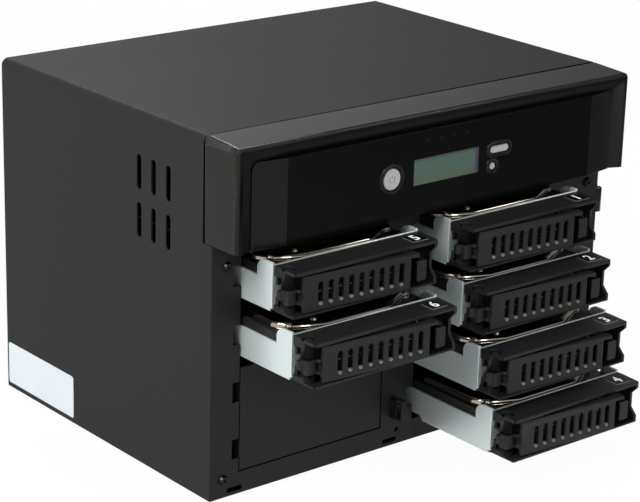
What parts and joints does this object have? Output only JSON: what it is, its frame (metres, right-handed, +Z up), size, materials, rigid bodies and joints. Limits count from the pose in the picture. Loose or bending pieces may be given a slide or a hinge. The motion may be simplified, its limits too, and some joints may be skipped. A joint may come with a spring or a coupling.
{
  "type": "desktop storage server",
  "caption": "Desktop storage server: a steel cabinet with a display head and hot-swap drive trays in two columns, each with a slotted lever, the trays pulled out in steps.",
  "frame": {"origin": "on the floor, under the middle of the cabinet's cover", "axes": "+X to the right seen from the front, +Y to the rear, +Z up"},
  "size_m": [0.3062, 0.3051, 0.215],
  "materials": {
    "cabinet_steel": "fine-textured black-grey powder coat",
    "head_plastic": "satin dark grey moulding",
    "window_plastic": "gloss black",
    "display_glass": "green-grey display glass",
    "lamp_plastic": "dark lamp lens",
    "button_plastic": "satin light grey",
    "circuit_board": "green board",
    "plain_steel": "zinc-plated sheet",
    "socket_shell": "plated socket shells",
    "inlet_plastic": "black moulding",
    "fan_plastic": "black moulding",
    "foot_rubber": "soft black rubber",
    "tray_steel": "blue-grey zinc plate",
    "tray_plastic": "satin black moulding",
    "drive_case": "black casting under a dark plated lid"
  },
  "bodies": {
    "chassis": {"outer_cover": "cabinet_steel", "base_pan": "cabinet_steel", "rear_panel": "cabinet_steel", "lower_front_panel": "cabinet_steel", "blank_plate": "cabinet_steel", "bezel": "head_plastic", "door_hinge_lug": "head_plastic", "latch_keeper": "head_plastic", "window_panel": "window_plastic", "display_module": "display_glass", "indicator_lights": "lamp_plastic", "control_board": "circuit_board", "backplane": "circuit_board", "main_board": "circuit_board", "cage_side_walls": "plain_steel", "cage_centre_wall": "plain_steel", "top_deck": "plain_steel", "guide_rails": "plain_steel", "power_supply": "plain_steel", "fan_guards": "plain_steel", "rear_sockets": "socket_shell", "mains_inlet": "inlet_plastic", "fan_frame_left": "fan_plastic", "fan_frame_right": "fan_plastic", "rubber_feet": "foot_rubber"},
    "power_button": {"power_button": "button_plastic"},
    "display_button": {"display_button": "button_plastic"},
    "function_button": {"function_button": "button_plastic"},
    "fan_rotor_left": {"fan_rotor_left": "fan_plastic"},
    "fan_rotor_right": {"fan_rotor_right": "fan_plastic"},
    "tray_1": {"tray_frame_1": "tray_steel", "tray_front_1": "tray_plastic", "drive_1": "drive_case"},
    "lever_1": {"lever_1": "tray_plastic"},
    "release_tab_1": {"release_tab_1": "tray_plastic"},
    "tray_2": {"tray_frame_2": "tray_steel", "tray_front_2": "tray_plastic", "drive_2": "drive_case"},
    "lever_2": {"lever_2": "tray_plastic"},
    "release_tab_2": {"release_tab_2": "tray_plastic"},
    "tray_3": {"tray_frame_3": "tray_steel", "tray_front_3": "tray_plastic", "drive_3": "drive_case"},
    "lever_3": {"lever_3": "tray_plastic"},
    "release_tab_3": {"release_tab_3": "tray_plastic"},
    "tray_4": {"tray_frame_4": "tray_steel", "tray_front_4": "tray_plastic", "drive_4": "drive_case"},
    "lever_4": {"lever_4": "tray_plastic"},
    "release_tab_4": {"release_tab_4": "tray_plastic"},
    "tray_5": {"tray_frame_5": "tray_steel", "tray_front_5": "tray_plastic", "drive_5": "drive_case"},
    "lever_5": {"lever_5": "tray_plastic"},
    "release_tab_5": {"release_tab_5": "tray_plastic"},
    "tray_6": {"tray_frame_6": "tray_steel", "tray_front_6": "tray_plastic", "drive_6": "drive_case"},
    "lever_6": {"lever_6": "tray_plastic"},
    "release_tab_6": {"release_tab_6": "tray_plastic"}
  },
  "joints": [
    {"name": "tray_1_slide", "type": "slide", "parent": "chassis", "child": "tray_1", "axis": [0, -1, 0], "range_m": [-0.035, 0.13]},
    {"name": "lever_1_hinge", "type": "hinge", "parent": "tray_1", "child": "lever_1", "pos_m": [0.0065, -0.129, 0.1347], "axis": [0, 0, -1], "range_deg": [0, 75]},
    {"name": "release_tab_1_slide", "type": "slide", "parent": "tray_1", "child": "release_tab_1", "axis": [1, 0, 0], "range_m": [0, 0.0025], "stiffness_N_per_m": 300},
    {"name": "tray_2_slide", "type": "slide", "parent": "chassis", "child": "tray_2", "axis": [0, -1, 0], "range_m": [-0.0485, 0.1165]},
    {"name": "lever_2_hinge", "type": "hinge", "parent": "tray_2", "child": "lever_2", "pos_m": [0.0065, -0.1425, 0.1003], "axis": [0, 0, -1], "range_deg": [0, 75]},
    {"name": "release_tab_2_slide", "type": "slide", "parent": "tray_2", "child": "release_tab_2", "axis": [1, 0, 0], "range_m": [0, 0.0025], "stiffness_N_per_m": 300},
    {"name": "tray_3_slide", "type": "slide", "parent": "chassis", "child": "tray_3", "axis": [0, -1, 0], "range_m": [-0.065, 0.1]},
    {"name": "lever_3_hinge", "type": "hinge", "parent": "tray_3", "child": "lever_3", "pos_m": [0.0065, -0.159, 0.0659], "axis": [0, 0, -1], "range_deg": [0, 75]},
    {"name": "release_tab_3_slide", "type": "slide", "parent": "tray_3", "child": "release_tab_3", "axis": [1, 0, 0], "range_m": [0, 0.0025], "stiffness_N_per_m": 300},
    {"name": "tray_4_slide", "type": "slide", "parent": "chassis", "child": "tray_4", "axis": [0, -1, 0], "range_m": [-0.078, 0.087]},
    {"name": "lever_4_hinge", "type": "hinge", "parent": "tray_4", "child": "lever_4", "pos_m": [0.0065, -0.172, 0.0315], "axis": [0, 0, -1], "range_deg": [0, 75]},
    {"name": "release_tab_4_slide", "type": "slide", "parent": "tray_4", "child": "release_tab_4", "axis": [1, 0, 0], "range_m": [0, 0.0025], "stiffness_N_per_m": 300},
    {"name": "tray_5_slide", "type": "slide", "parent": "chassis", "child": "tray_5", "axis": [0, -1, 0], "range_m": [-0.037, 0.128]},
    {"name": "lever_5_hinge", "type": "hinge", "parent": "tray_5", "child": "lever_5", "pos_m": [-0.1241, -0.131, 0.1347], "axis": [0, 0, -1], "range_deg": [0, 75]},
    {"name": "release_tab_5_slide", "type": "slide", "parent": "tray_5", "child": "release_tab_5", "axis": [1, 0, 0], "range_m": [0, 0.0025], "stiffness_N_per_m": 300},
    {"name": "tray_6_slide", "type": "slide", "parent": "chassis", "child": "tray_6", "axis": [0, -1, 0], "range_m": [-0.055, 0.11]},
    {"name": "lever_6_hinge", "type": "hinge", "parent": "tray_6", "child": "lever_6", "pos_m": [-0.1241, -0.149, 0.1003], "axis": [0, 0, -1], "range_deg": [0, 75]},
    {"name": "release_tab_6_slide", "type": "slide", "parent": "tray_6", "child": "release_tab_6", "axis": [1, 0, 0], "range_m": [0, 0.0025], "stiffness_N_per_m": 300},
    {"name": "power_button_press", "type": "slide", "parent": "chassis", "child": "power_button", "axis": [0, 1, 0], "range_m": [0, 0.0012], "stiffness_N_per_m": 500},
    {"name": "display_button_press", "type": "slide", "parent": "chassis", "child": "display_button", "axis": [0, 1, 0], "range_m": [0, 0.0012], "stiffness_N_per_m": 500},
    {"name": "function_button_press", "type": "slide", "parent": "chassis", "child": "function_button", "axis": [0, 1, 0], "range_m": [0, 0.0012], "stiffness_N_per_m": 500},
    {"name": "fan_rotor_left_spin", "type": "hinge", "parent": "chassis", "child": "fan_rotor_left", "pos_m": [-0.0769, 0.1025, 0.082], "axis": [0, 1, 0], "continuous": true},
    {"name": "fan_rotor_right_spin", "type": "hinge", "parent": "chassis", "child": "fan_rotor_right", "pos_m": [0.0537, 0.1025, 0.082], "axis": [0, 1, 0], "continuous": true}
  ]
}
